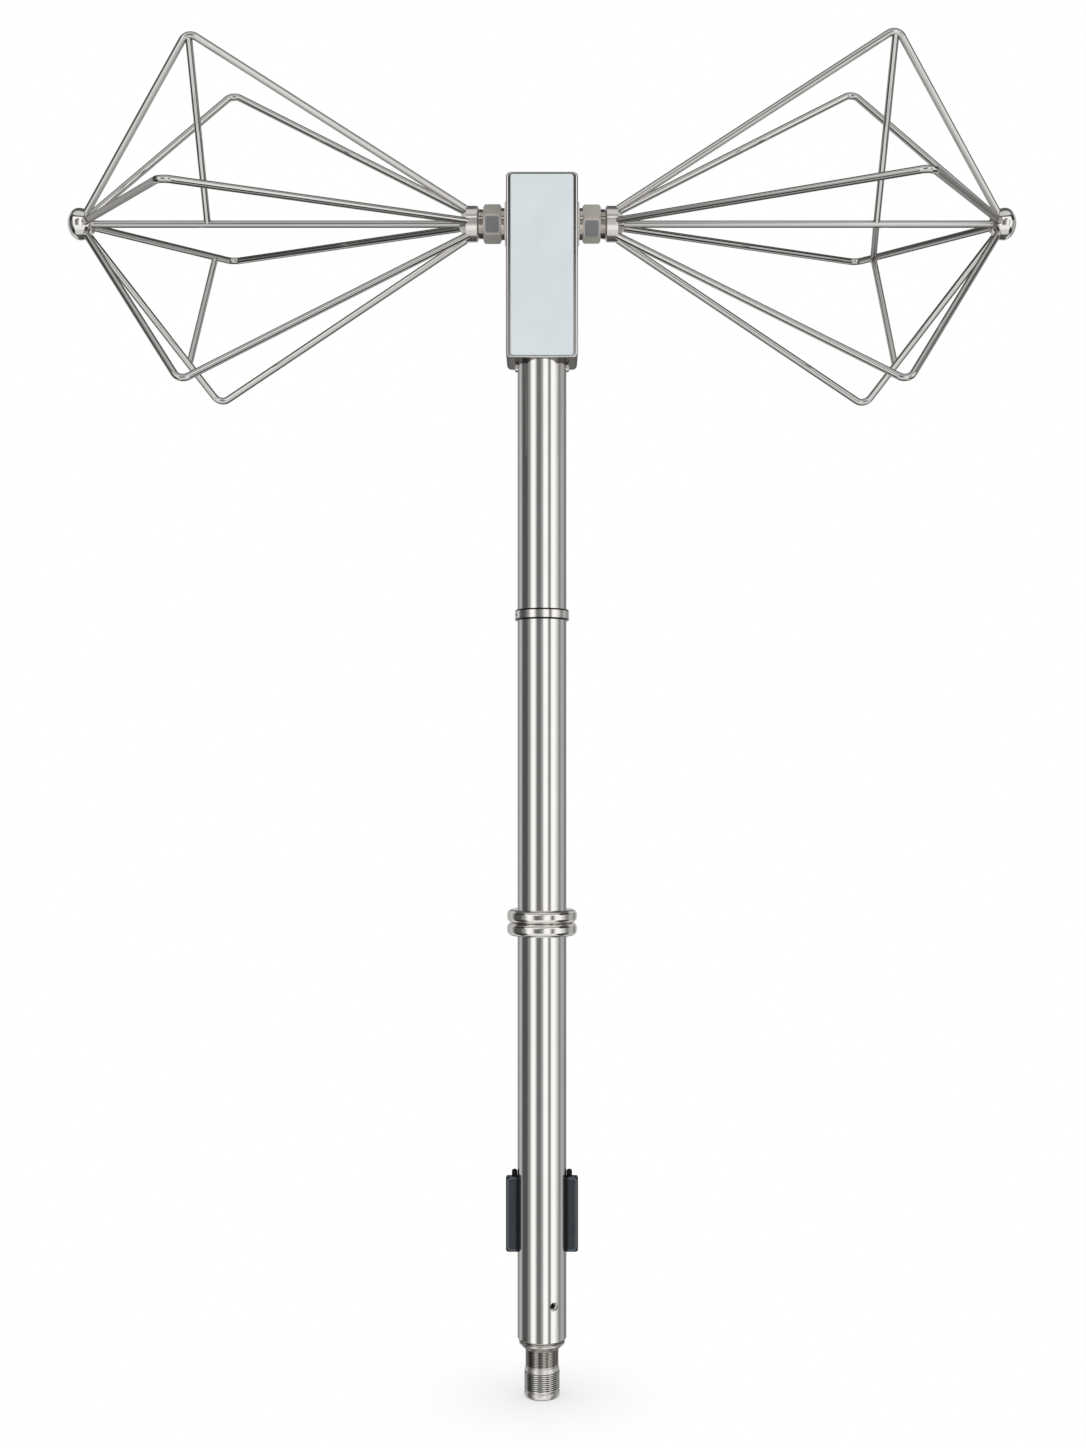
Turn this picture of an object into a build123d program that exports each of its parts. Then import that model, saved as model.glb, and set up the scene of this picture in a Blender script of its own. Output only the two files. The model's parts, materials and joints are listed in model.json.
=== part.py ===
from build123d import *
import os
from math import cos, radians, sin, sqrt, tan

os.makedirs("parts", exist_ok=True)

# Biconical antenna, in millimetres. Z points up the mast, X runs along the two arms,
# the front of the balun box faces -Y. The origin is on the mast axis at the lower
# end face of the coaxial connector.

# Mast tube: one tube size all the way, in two lengths that meet at the joint collars.
tube_d = 22.0
tube_wall = 1.5
foot_z = 25.5
joint_z = 213.1
box_z = 464.2
tube_foot_bevel = 1.15
sleeve_half_length = 20.0
sleeve_wall = 2.0

# Joint collars, index ring and clip on the mast.
collar_d = 31.4
collar_height = 5.9
collar_edge = 2.3
ring_wall = 1.2
ring_height = 4.8
ring_edge = 0.4
ring_mid_z = 351.0
ring_screw_d = 1.3
ring_screw_turn = -70.0
clip_z = 65.4
clip_height = 33.5
clip_half_width = 16.2
clip_front = 3.3
clip_back = 16.5
clip_corner = 1.4
clip_edge = 0.6
clip_top_flat = 1.7
clip_back_slope = 15.0
clip_peg_d = 2.5
clip_peg_height = 3.2
clip_peg_x = 12.3

# Foot of the mast: plug with flange, and the screw that locks it.
plug_flange_d = 20.6
plug_flange_rim = 1.3
plug_flange_bevel = 2.4
plug_gap = 0.7
plug_neck_depth = 0.9
plug_top_z = 50.0
plug_lip = 0.3
foot_screw_d = 3.0
foot_screw_hole_d = 3.9
foot_screw_length = 1.8
foot_screw_z = 42.8
foot_screw_turn = 29.0

# Coaxial socket: outer thread size, threaded shank and the line behind it.
socket_thread_d = 15.9
socket_nose = 2.7
socket_nose_edge = 1.3
socket_groove = 0.35
socket_groove_depth = 0.6
socket_thread_top_z = 12.1
socket_cone_top_z = 13.9
socket_shank_d = 14.8
socket_shank_top_z = 46.0
socket_bore_d = 8.4
socket_mouth_d = 10.0
socket_mouth_depth = 9.5
socket_back_z = 38.0
contact_d = 3.04
contact_bore_d = 1.65
contact_bore_depth = 5.0
contact_front_z = 2.0
contact_slot = 0.3
contact_tail_d = 2.4
wire_seat_z = 33.0
jacket_d = 3.58
dielectric_d = 3.0
centre_wire_d = 0.92
jacket_end_drop = 8.5
dielectric_end_drop = 6.1
wire_end_drop = 3.6

# Balun box.
box_width = 32.0
box_depth = 25.0
box_height = 82.4
box_corner = 2.2
box_front_edge = 0.9
box_back_edge = 1.4
box_base = 4.0
box_roof = 3.0
box_side_wall = 2.5
box_front_wall = 2.0
spigot_length = 14.0
spigot_bore_d = 8.0
boss_size = 5.5
plate_width = 28.0
plate_margin = 1.0
plate_thickness = 1.0
plate_corner = 1.3
plate_edge = 0.3
plate_gap = 0.45
cover_thickness = 2.0
cover_lip = 0.7
cover_gap = 0.15
cover_screw_d = 2.5
cover_screw_head_d = 4.4
cover_screw_length = 8.0
retaining_screw_d = 2.0
retaining_head_d = 3.5
retaining_head_height = 1.35
retaining_screw_depth = 3.2
retaining_screw_drop = 1.95
ferrite_d = 14.0
ferrite_bore_d = 4.0
ferrite_length = 13.0
ferrite_count = 3

# Feed-through of each arm in the side wall of the box.
dipole_below_top = 19.5
insulator_flange_d = 19.0
insulator_flange = 0.7
insulator_shank_d = 10.0
stud_inner_d = 5.0
stud_inner_x = 8.6
stud_collar_d = 13.8
stud_collar = 1.5
stud_thread_d = 12.3
stud_thread_x = 28.3
stud_tip_d = 7.0
stud_tip = 3.1
washer_d = 13.0
washer_thickness = 1.4
strap_thickness = 0.5
strap_width = 4.0
strap_eye_d = 8.4
signal_strap_drop = 5.7
ground_strap_drop = 9.7
strap_overhang = 3.2
inner_nut_flats = 8.0
inner_nut_height = 2.5
lock_nut_flats = 15.0
lock_nut_height = 8.1
lock_nut_bevel = 0.9
lock_nut_edge = 0.7
lock_nut_turn = {"left": 18.0, "right": 28.0}

# Rod hub and end knob of each arm.
hub_d = 15.8
hub_shoulder_x = 34.0
hub_back_bevel = 0.8
hub_tip_x = 37.0
hub_tip_d = 4.7
hub_focus_x = 23.5
hub_rod_x = 31.5
axial_rod_hub_x = 33.0
knob_x = 207.9
knob_d = 14.1
knob_dome = 5.2
knob_face_depth = 5.9
knob_rod_seat = 4.15
axial_rod_knob_depth = 3.9

# Cage rods: every rod is bent at about the same distance from the mast axis and from the
# arm axis. The rods are formed one by one, so each has its own turn about the arm axis,
# from straight up toward the front in degrees, and its own share of the two distances.
rod_d = 3.2
bend_radius = 4.5
brace_d = 3.0
cage_reach = 153.0
cage_rise = 84.0
cage_rods = {
    "left": [
        (34.1, 0.9830, 0.9679),
        (95.4, 1.0059, 1.0024),
        (155.0, 1.0176, 1.0369),
        (213.7, 1.0026, 1.0167),
        (275.4, 1.0046, 0.9988),
        (332.0, 0.9542, 0.9929),
    ],
    "right": [
        (34.0, 0.9837, 0.9845),
        (93.0, 1.0242, 1.0202),
        (154.8, 1.0281, 1.0393),
        (213.5, 1.0046, 1.0226),
        (275.1, 1.0203, 0.9952),
        (332.3, 0.9575, 0.9964),
    ],
}
brace_axial_x = 150.5
brace_from_bend_rod_5 = 12.7
brace_from_bend_rod_4 = 23.5

tube_r = tube_d / 2
tube_bore_r = tube_r - tube_wall
ring_d = tube_d + 2 * ring_wall
wall_x = box_width / 2
inner_wall_x = wall_x - box_side_wall
stud_collar_x = wall_x + insulator_flange
nut_x = stud_collar_x + stud_collar
washer_x = inner_wall_x - washer_thickness
strap_x = washer_x - strap_thickness
box_top_z = box_z + box_height
dipole_z = box_top_z - dipole_below_top
knob_face_x = knob_x - knob_face_depth
axial_rod_knob_x = knob_x - axial_rod_knob_depth
cavity_z = box_z + box_base
cavity_top_z = box_top_z - box_roof
sides = {"left": -1, "right": 1}


def save(builder, name):
    builder.part.label = name
    export_step(builder.part, f"parts/{name}.step")


def cage_plane(side, turn=0.0):
    """Plane through the arm axis: x runs out along the arm, y points to the rod."""
    along = Vector(side, 0, 0)
    outward = Vector(0, -sin(radians(turn)), cos(radians(turn)))
    return Plane(origin=(0, 0, dipole_z), x_dir=along, z_dir=along.cross(outward))


def arm_axis():
    return Axis((0, 0, dipole_z), (1, 0, 0))


def rod_points(rod):
    """Inner end, bend corner and outer end of a cage rod, in its own cage plane."""
    turn, reach_share, rise_share = rod
    corner = Vector(cage_reach * reach_share, cage_rise * rise_share)
    focus = Vector(hub_focus_x, 0)
    centre = Vector(knob_x, 0)
    inner = focus + (corner - focus) * ((hub_rod_x - hub_focus_x) / (corner.X - hub_focus_x))
    outer = centre + (corner - centre).normalized() * knob_rod_seat
    return inner, corner, outer


def sweep_rod(side, rod):
    """A round bar led along the bent centre line of one cage rod."""
    corners = [(point.X, point.Y) for point in rod_points(rod)]
    with BuildPart() as bar:
        with BuildLine(cage_plane(side, rod[0])):
            centre_line = FilletPolyline(*corners, radius=bend_radius)
        with BuildSketch(Plane(origin=centre_line @ 0, z_dir=centre_line % 0)):
            Circle(rod_d / 2)
        sweep()
    return bar


def bend_apex(side, rod):
    """Point of the centre line in the middle of the bend."""
    inner, corner, outer = rod_points(rod)
    to_inner = (inner - corner).normalized()
    to_outer = (outer - corner).normalized()
    half_cos = sqrt((1 + to_inner.dot(to_outer)) / 2)
    half_sin = sqrt(1 - half_cos * half_cos)
    depth = bend_radius * (1 / half_sin - 1)
    apex = corner + (to_inner + to_outer).normalized() * depth
    return cage_plane(side, rod[0]).from_local_coords(apex)


def outer_leg_point(side, rod, distance):
    """Point on the outer leg of a cage rod, measured from its bend corner."""
    inner, corner, outer = rod_points(rod)
    point = corner + (outer - corner).normalized() * distance
    return cage_plane(side, rod[0]).from_local_coords(point)


def straight_bar(start, end, diameter):
    """A straight round bar between two points."""
    with BuildPart() as bar:
        with BuildSketch(Plane(origin=start, z_dir=end - start)):
            Circle(diameter / 2)
        extrude(amount=(end - start).length)
    return bar


# Lower mast tube, with the bevelled foot and the hole over the foot screw.
foot_screw_plane = Plane(
    origin=(0, 0, foot_screw_z),
    z_dir=(sin(radians(foot_screw_turn)), -cos(radians(foot_screw_turn)), 0),
)
with BuildPart() as lower_mast_tube:
    with BuildSketch(Plane.XY.offset(foot_z)):
        Circle(tube_r)
        Circle(tube_bore_r, mode=Mode.SUBTRACT)
    extrude(amount=joint_z - foot_z)
    chamfer(
        lower_mast_tube.edges().filter_by(GeomType.CIRCLE).group_by(Axis.Z)[0].sort_by(SortBy.RADIUS)[-1],
        length=tube_foot_bevel,
        length2=tube_foot_bevel * 0.9,
    )
    with BuildSketch(foot_screw_plane):
        Circle(foot_screw_hole_d / 2)
    extrude(amount=tube_r + 1, mode=Mode.SUBTRACT)
save(lower_mast_tube, "lower_mast_tube")

# Upper mast tube. Two flat spots just under the box seat the retaining screws.
retaining_z = box_z - retaining_screw_drop
retaining_seat_x = sqrt(tube_r**2 - (retaining_head_d / 2) ** 2) - 0.02
with BuildPart() as upper_mast_tube:
    with BuildSketch(Plane.XY.offset(joint_z)):
        Circle(tube_r)
        Circle(tube_bore_r, mode=Mode.SUBTRACT)
    extrude(amount=box_z - joint_z)
    for side in sides.values():
        with BuildSketch(Plane(origin=(side * retaining_seat_x, 0, retaining_z), z_dir=(side, 0, 0))):
            Circle(retaining_head_d / 2)
        extrude(amount=retaining_head_height, mode=Mode.SUBTRACT)
        with BuildSketch(Plane(origin=(0, 0, retaining_z), z_dir=(side, 0, 0))):
            Circle(retaining_screw_d / 2)
        extrude(amount=tube_r, mode=Mode.SUBTRACT)
save(upper_mast_tube, "upper_mast_tube")

# Sleeve inside both tubes, which carries the joint.
with BuildPart() as joint_sleeve:
    with BuildSketch(Plane.XY.offset(joint_z - sleeve_half_length)):
        Circle(tube_bore_r)
        Circle(tube_bore_r - sleeve_wall, mode=Mode.SUBTRACT)
    extrude(amount=2 * sleeve_half_length)
save(joint_sleeve, "joint_sleeve")

# Two rounded collars, one on the end of each tube; together they form the double bead.
for name, base_z in (("lower_joint_collar", joint_z - collar_height), ("upper_joint_collar", joint_z)):
    with BuildPart() as joint_collar:
        with BuildSketch(Plane.XY.offset(base_z)):
            Circle(collar_d / 2)
        extrude(amount=collar_height)
        fillet(joint_collar.edges().filter_by(GeomType.CIRCLE), radius=collar_edge)
        with BuildSketch(Plane.XY.offset(base_z)):
            Circle(tube_r)
        extrude(amount=collar_height, mode=Mode.SUBTRACT)
    save(joint_collar, name)

# Index ring with its cross hole, and the small screw in it.
ring_screw_plane = Plane(
    origin=(0, 0, ring_mid_z),
    z_dir=(sin(radians(ring_screw_turn)), -cos(radians(ring_screw_turn)), 0),
)
with BuildPart() as index_ring:
    with BuildSketch(Plane.XY.offset(ring_mid_z - ring_height / 2)):
        Circle(ring_d / 2)
        Circle(tube_r, mode=Mode.SUBTRACT)
    extrude(amount=ring_height)
    outer_edges = index_ring.edges().filter_by(GeomType.CIRCLE).group_by(SortBy.RADIUS)[-1]
    chamfer(outer_edges, length=ring_edge)
    with BuildSketch(ring_screw_plane):
        Circle(ring_screw_d / 2)
    extrude(amount=ring_d, mode=Mode.SUBTRACT)
save(index_ring, "index_ring")

with BuildPart() as ring_grub_screw:
    with BuildSketch(ring_screw_plane.offset(tube_r + 0.02)):
        Circle(ring_screw_d / 2)
    extrude(amount=0.8)
    with BuildSketch(ring_screw_plane.offset(tube_r + 0.82)):
        RegularPolygon(ring_screw_d / 4, 6)
    extrude(amount=-0.4, mode=Mode.SUBTRACT)
save(ring_grub_screw, "ring_grub_screw")

# Moulded clip: a block behind the mast whose two jaws close round the sides of the tube.
with BuildPart() as mast_clip:
    with BuildSketch(Plane.XY.offset(clip_z)):
        with Locations((0, (clip_back - clip_front) / 2)):
            Rectangle(2 * clip_half_width, clip_back + clip_front)
        fillet(vertices().group_by(Axis.Y)[-1], radius=3 * clip_corner)
        fillet(vertices().group_by(Axis.Y)[0], radius=clip_corner)
        Circle(tube_r, mode=Mode.SUBTRACT)
    extrude(amount=clip_height)
    slope_drop = (clip_back - clip_top_flat) * tan(radians(clip_back_slope))
    with BuildSketch(Plane.YZ.offset(-clip_half_width)):
        with BuildLine():
            Polyline(
                (clip_top_flat, clip_z + clip_height),
                (clip_back, clip_z + clip_height),
                (clip_back, clip_z + clip_height - slope_drop),
                close=True,
            )
        make_face()
    extrude(amount=2 * clip_half_width, mode=Mode.SUBTRACT)
    end_faces = mast_clip.faces().filter_by(lambda f: abs(f.normal_at().Z) > 0.5)
    outline = end_faces.edges().filter_by(
        lambda e: abs(e.center().X) > clip_half_width - 1.5 * clip_corner
        or e.center().Y > clip_back - 0.1
        or e.center().Y < 0.1 - clip_front
    )
    chamfer(outline, length=clip_edge)
    with BuildSketch(Plane.XY.offset(clip_z + clip_height)):
        with Locations((-clip_peg_x, 0), (clip_peg_x, 0)):
            Circle(clip_peg_d / 2)
    extrude(amount=clip_peg_height)
    fillet(mast_clip.edges().filter_by(GeomType.CIRCLE).group_by(Axis.Z)[-1], radius=clip_peg_d * 0.42)
save(mast_clip, "mast_clip")

# Plug in the foot of the tube, with the bevelled flange that closes it. A narrow neck
# leaves a gap between the flange and the end of the tube.
plug_flange_z = foot_z - plug_flange_rim
plug_lip_z = plug_flange_z - plug_flange_bevel
with BuildPart() as end_plug:
    with BuildSketch(Plane.XZ):
        with BuildLine():
            Polyline(
                (socket_shank_d / 2, plug_lip_z),
                (socket_shank_d / 2 + plug_lip, plug_lip_z),
                (plug_flange_d / 2, plug_flange_z),
                (plug_flange_d / 2, foot_z - plug_gap),
                (tube_bore_r - plug_neck_depth, foot_z - plug_gap),
                (tube_bore_r - plug_neck_depth, foot_z),
                (tube_bore_r, foot_z),
                (tube_bore_r, plug_top_z),
                (socket_shank_d / 2, plug_top_z),
                close=True,
            )
        make_face()
    revolve(axis=Axis.Z)
    with BuildSketch(foot_screw_plane):
        Circle(foot_screw_d / 2)
    extrude(amount=tube_r, mode=Mode.SUBTRACT)
save(end_plug, "end_plug")

# Grub screw that locks the plug on the connector shank, at the bottom of the dark hole.
foot_screw_r = socket_shank_d / 2 + 0.05
with BuildPart() as foot_grub_screw:
    with BuildSketch(foot_screw_plane.offset(foot_screw_r)):
        Circle(foot_screw_d / 2)
    extrude(amount=foot_screw_length)
    with BuildSketch(foot_screw_plane.offset(foot_screw_r + foot_screw_length)):
        RegularPolygon(foot_screw_d / 4, 6, major_radius=False)
    extrude(amount=-foot_screw_length / 2, mode=Mode.SUBTRACT)
save(foot_grub_screw, "foot_grub_screw")

# Connector shell: rounded nose, thread cylinder, cone and the long shank inside the plug.
thread_r = socket_thread_d / 2
with BuildPart() as connector_body:
    with BuildSketch(Plane.XZ):
        with BuildLine():
            Polyline(
                (socket_bore_d / 2, socket_back_z),
                (socket_bore_d / 2, (socket_mouth_d - socket_bore_d) / 2),
                (socket_mouth_d / 2, 0),
                (thread_r - socket_nose_edge, 0),
            )
            RadiusArc(
                (thread_r - socket_nose_edge, 0),
                (thread_r, socket_nose_edge),
                -socket_nose_edge,
            )
            Polyline(
                (thread_r, socket_nose_edge),
                (thread_r, socket_nose),
                (thread_r - socket_groove_depth, socket_nose),
                (thread_r - socket_groove_depth, socket_nose + socket_groove),
                (thread_r, socket_nose + socket_groove),
                (thread_r, socket_thread_top_z),
                (socket_shank_d / 2, socket_cone_top_z),
                (socket_shank_d / 2, socket_shank_top_z),
                (jacket_d / 2, socket_shank_top_z),
                (jacket_d / 2, socket_back_z),
                (socket_bore_d / 2, socket_back_z),
            )
        make_face()
    revolve(axis=Axis.Z)
save(connector_body, "connector_body")

with BuildPart() as connector_insulator:
    with BuildSketch(Plane.XY.offset(socket_mouth_depth)):
        Circle(socket_bore_d / 2)
        Circle(contact_tail_d / 2, mode=Mode.SUBTRACT)
    extrude(amount=socket_back_z - socket_mouth_depth)
save(connector_insulator, "connector_insulator")

# Centre contact: slotted socket in front, tail with the seat of the centre wire behind.
with BuildPart() as connector_contact:
    with BuildSketch(Plane.XY.offset(contact_front_z)):
        Circle(contact_d / 2)
    extrude(amount=socket_mouth_depth - contact_front_z)
    with BuildSketch(Plane.XY.offset(socket_mouth_depth)):
        Circle(contact_tail_d / 2)
    extrude(amount=socket_back_z - socket_mouth_depth)
    with BuildSketch(Plane.XY.offset(contact_front_z)):
        Circle(contact_bore_d / 2)
        Rectangle(contact_d * 1.2, contact_slot)
        Rectangle(contact_slot, contact_d * 1.2)
    extrude(amount=contact_bore_depth, mode=Mode.SUBTRACT)
    with BuildSketch(Plane.XY.offset(wire_seat_z)):
        Circle(centre_wire_d / 2)
    extrude(amount=socket_back_z - wire_seat_z, mode=Mode.SUBTRACT)
save(connector_contact, "connector_contact")

# Stiff coaxial line from the connector to the straps in the box.
for name, outer_d, inner_d, low_z, high_z in (
    ("coax_jacket", jacket_d, dielectric_d, socket_back_z, dipole_z - jacket_end_drop),
    ("coax_dielectric", dielectric_d, centre_wire_d, socket_back_z, dipole_z - dielectric_end_drop),
    ("coax_centre_wire", centre_wire_d, 0, wire_seat_z, dipole_z - wire_end_drop),
):
    with BuildPart() as line_layer:
        with BuildSketch(Plane.XY.offset(low_z)):
            Circle(outer_d / 2)
            if inner_d > 0:
                Circle(inner_d / 2, mode=Mode.SUBTRACT)
        extrude(amount=high_z - low_z)
    save(line_layer, name)

# Balun housing: a block hollowed from behind, with a shallow seat for the plate in
# front, a seat for the cover behind and a spigot that stands in the mast tube.
plate_height = box_height - 2 * plate_margin
plate_mid_z = box_z + box_height / 2
box_front_y = -box_depth / 2
box_back_y = box_depth / 2
cover_y = box_back_y - cover_thickness
cavity_front_y = box_front_y + plate_thickness + box_front_wall
cover_width = 2 * (inner_wall_x + cover_lip)
cover_height = cavity_top_z - cavity_z + 2 * cover_lip
cavity_mid_z = (cavity_z + cavity_top_z) / 2
screw_x = inner_wall_x - boss_size / 2
screw_half_z = (cavity_top_z - cavity_z) / 2 - boss_size / 2
with BuildPart() as balun_housing:
    with BuildSketch(Plane(origin=(0, box_back_y, plate_mid_z), x_dir=(1, 0, 0), z_dir=(0, -1, 0))):
        Rectangle(box_width, box_height)
        fillet(vertices(), radius=box_corner)
    extrude(amount=box_depth)
    fillet(balun_housing.faces().sort_by(Axis.Y)[0].edges(), radius=box_front_edge)
    fillet(balun_housing.faces().sort_by(Axis.Y)[-1].edges(), radius=box_back_edge)
    with BuildSketch(Plane(origin=(0, box_front_y, plate_mid_z), x_dir=(1, 0, 0), z_dir=(0, -1, 0))):
        Rectangle(plate_width + 2 * plate_gap, plate_height + 2 * plate_gap)
        fillet(vertices(), radius=plate_corner + plate_gap)
    extrude(amount=-plate_thickness, mode=Mode.SUBTRACT)
    with BuildSketch(Plane(origin=(0, box_back_y, cavity_mid_z), x_dir=(-1, 0, 0), z_dir=(0, 1, 0))):
        Rectangle(2 * inner_wall_x, cavity_top_z - cavity_z)
        with Locations(
            (-screw_x, -screw_half_z), (-screw_x, screw_half_z), (screw_x, -screw_half_z), (screw_x, screw_half_z)
        ):
            Rectangle(boss_size, boss_size, mode=Mode.SUBTRACT)
    extrude(amount=-(box_back_y - cavity_front_y), mode=Mode.SUBTRACT)
    with BuildSketch(Plane(origin=(0, box_back_y, cavity_mid_z), x_dir=(-1, 0, 0), z_dir=(0, 1, 0))):
        Rectangle(cover_width + 2 * cover_gap, cover_height + 2 * cover_gap)
        fillet(vertices(), radius=1.0 + cover_gap)
    extrude(amount=-cover_thickness, mode=Mode.SUBTRACT)
    with BuildSketch(Plane(origin=(0, cover_y, cavity_mid_z), x_dir=(-1, 0, 0), z_dir=(0, 1, 0))):
        with GridLocations(2 * screw_x, 2 * screw_half_z, 2, 2):
            Circle(cover_screw_d / 2)
    extrude(amount=-(cover_screw_length - cover_thickness), mode=Mode.SUBTRACT)
    with BuildSketch(Plane.XY.offset(box_z)):
        Circle(tube_bore_r)
    extrude(amount=-spigot_length)
    with BuildSketch(Plane.XY.offset(box_z - spigot_length)):
        Circle(spigot_bore_d / 2)
    extrude(amount=spigot_length + box_base, mode=Mode.SUBTRACT)
    with BuildSketch(Plane(origin=(0, 0, dipole_z), z_dir=(1, 0, 0))):
        Circle(insulator_shank_d / 2)
    extrude(amount=wall_x, both=True, mode=Mode.SUBTRACT)
    for side in sides.values():
        with BuildSketch(Plane(origin=(side * tube_bore_r, 0, retaining_z), z_dir=(-side, 0, 0))):
            Circle(retaining_screw_d / 2)
        extrude(
            amount=retaining_screw_depth - (retaining_seat_x - tube_bore_r),
            mode=Mode.SUBTRACT,
        )
save(balun_housing, "balun_housing")

# Plain plate let into the front of the housing.
with BuildPart() as front_plate:
    with BuildSketch(Plane(origin=(0, box_front_y, plate_mid_z), x_dir=(1, 0, 0), z_dir=(0, -1, 0))):
        Rectangle(plate_width, plate_height)
        fillet(vertices(), radius=plate_corner)
    extrude(amount=-plate_thickness)
    chamfer(front_plate.faces().sort_by(Axis.Y)[0].edges(), length=plate_edge)
save(front_plate, "front_plate")

# Rear cover with four countersunk screws.
cover_plane = Plane(origin=(0, box_back_y, cavity_mid_z), x_dir=(-1, 0, 0), z_dir=(0, 1, 0))
with BuildPart() as rear_cover:
    with BuildSketch(cover_plane):
        Rectangle(cover_width, cover_height)
        fillet(vertices(), radius=1.0)
    extrude(amount=-cover_thickness)
    with Locations(cover_plane):
        with GridLocations(2 * screw_x, 2 * screw_half_z, 2, 2):
            CounterSinkHole(
                radius=cover_screw_d / 2,
                counter_sink_radius=cover_screw_head_d / 2,
                depth=cover_thickness,
                counter_sink_angle=90,
            )
save(rear_cover, "rear_cover")

head_height = (cover_screw_head_d - cover_screw_d) / 2
with BuildPart() as rear_cover_screws:
    with Locations(cover_plane):
        with GridLocations(2 * screw_x, 2 * screw_half_z, 2, 2):
            Cone(
                cover_screw_d / 2,
                cover_screw_head_d / 2,
                head_height,
                align=(Align.CENTER, Align.CENTER, Align.MAX),
            )
            with Locations((0, 0, -head_height)):
                Cylinder(
                    cover_screw_d / 2,
                    cover_screw_length - head_height,
                    align=(Align.CENTER, Align.CENTER, Align.MAX),
                )
    with BuildSketch(cover_plane):
        with GridLocations(2 * screw_x, 2 * screw_half_z, 2, 2):
            Rectangle(cover_screw_head_d * 0.6, 0.55)
            Rectangle(0.55, cover_screw_head_d * 0.6)
    extrude(amount=-0.7, mode=Mode.SUBTRACT)
save(rear_cover_screws, "rear_cover_screws")

# Two small screws at the sides, just under the box, hold the tube on the spigot.
with BuildPart() as mast_retaining_screws:
    for side in sides.values():
        seat = Plane(origin=(side * retaining_seat_x, 0, retaining_z), z_dir=(side, 0, 0))
        with BuildSketch(seat):
            Circle(retaining_head_d / 2)
        extrude(amount=retaining_head_height)
        head_rim = mast_retaining_screws.faces().sort_by(Axis.X)[-1 if side > 0 else 0].edges()
        fillet(head_rim, radius=0.5)
        with BuildSketch(seat):
            Circle(retaining_screw_d / 2)
        extrude(amount=-retaining_screw_depth)
        with BuildSketch(seat.offset(retaining_head_height)):
            RegularPolygon(0.75, 6, major_radius=False)
        extrude(amount=-0.8, mode=Mode.SUBTRACT)
save(mast_retaining_screws, "mast_retaining_screws")

# Ferrite sleeves stacked on the floor of the box, round the coaxial line.
with BuildPart() as ferrite_sleeves:
    for number in range(ferrite_count):
        with BuildSketch(Plane.XY.offset(cavity_z + number * (ferrite_length + 0.2))):
            Circle(ferrite_d / 2)
            Circle(ferrite_bore_d / 2, mode=Mode.SUBTRACT)
        extrude(amount=ferrite_length)
save(ferrite_sleeves, "ferrite_sleeves")

# Flat straps: an eye on the stud, a tail downward and a leg in to the coaxial line.
for name, side, leg_z, hole_d in (
    ("signal_strap", -1, dipole_z - signal_strap_drop, centre_wire_d),
    ("ground_strap", 1, dipole_z - ground_strap_drop, jacket_d),
):
    with BuildPart() as strap:
        with BuildSketch(Plane(origin=(side * strap_x, 0, dipole_z), x_dir=(0, 1, 0), z_dir=(1, 0, 0))):
            Circle(strap_eye_d / 2)
            with Locations((0, (leg_z - dipole_z) / 2)):
                Rectangle(strap_width, dipole_z - leg_z)
            Circle(stud_inner_d / 2, mode=Mode.SUBTRACT)
        extrude(amount=side * strap_thickness)
        with BuildSketch(Plane.XY.offset(leg_z)):
            with Locations((side * (washer_x - strap_overhang) / 2, 0)):
                Rectangle(washer_x + strap_overhang, strap_width)
            Circle(hole_d / 2, mode=Mode.SUBTRACT)
        extrude(amount=strap_thickness)
    save(strap, name)


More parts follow.
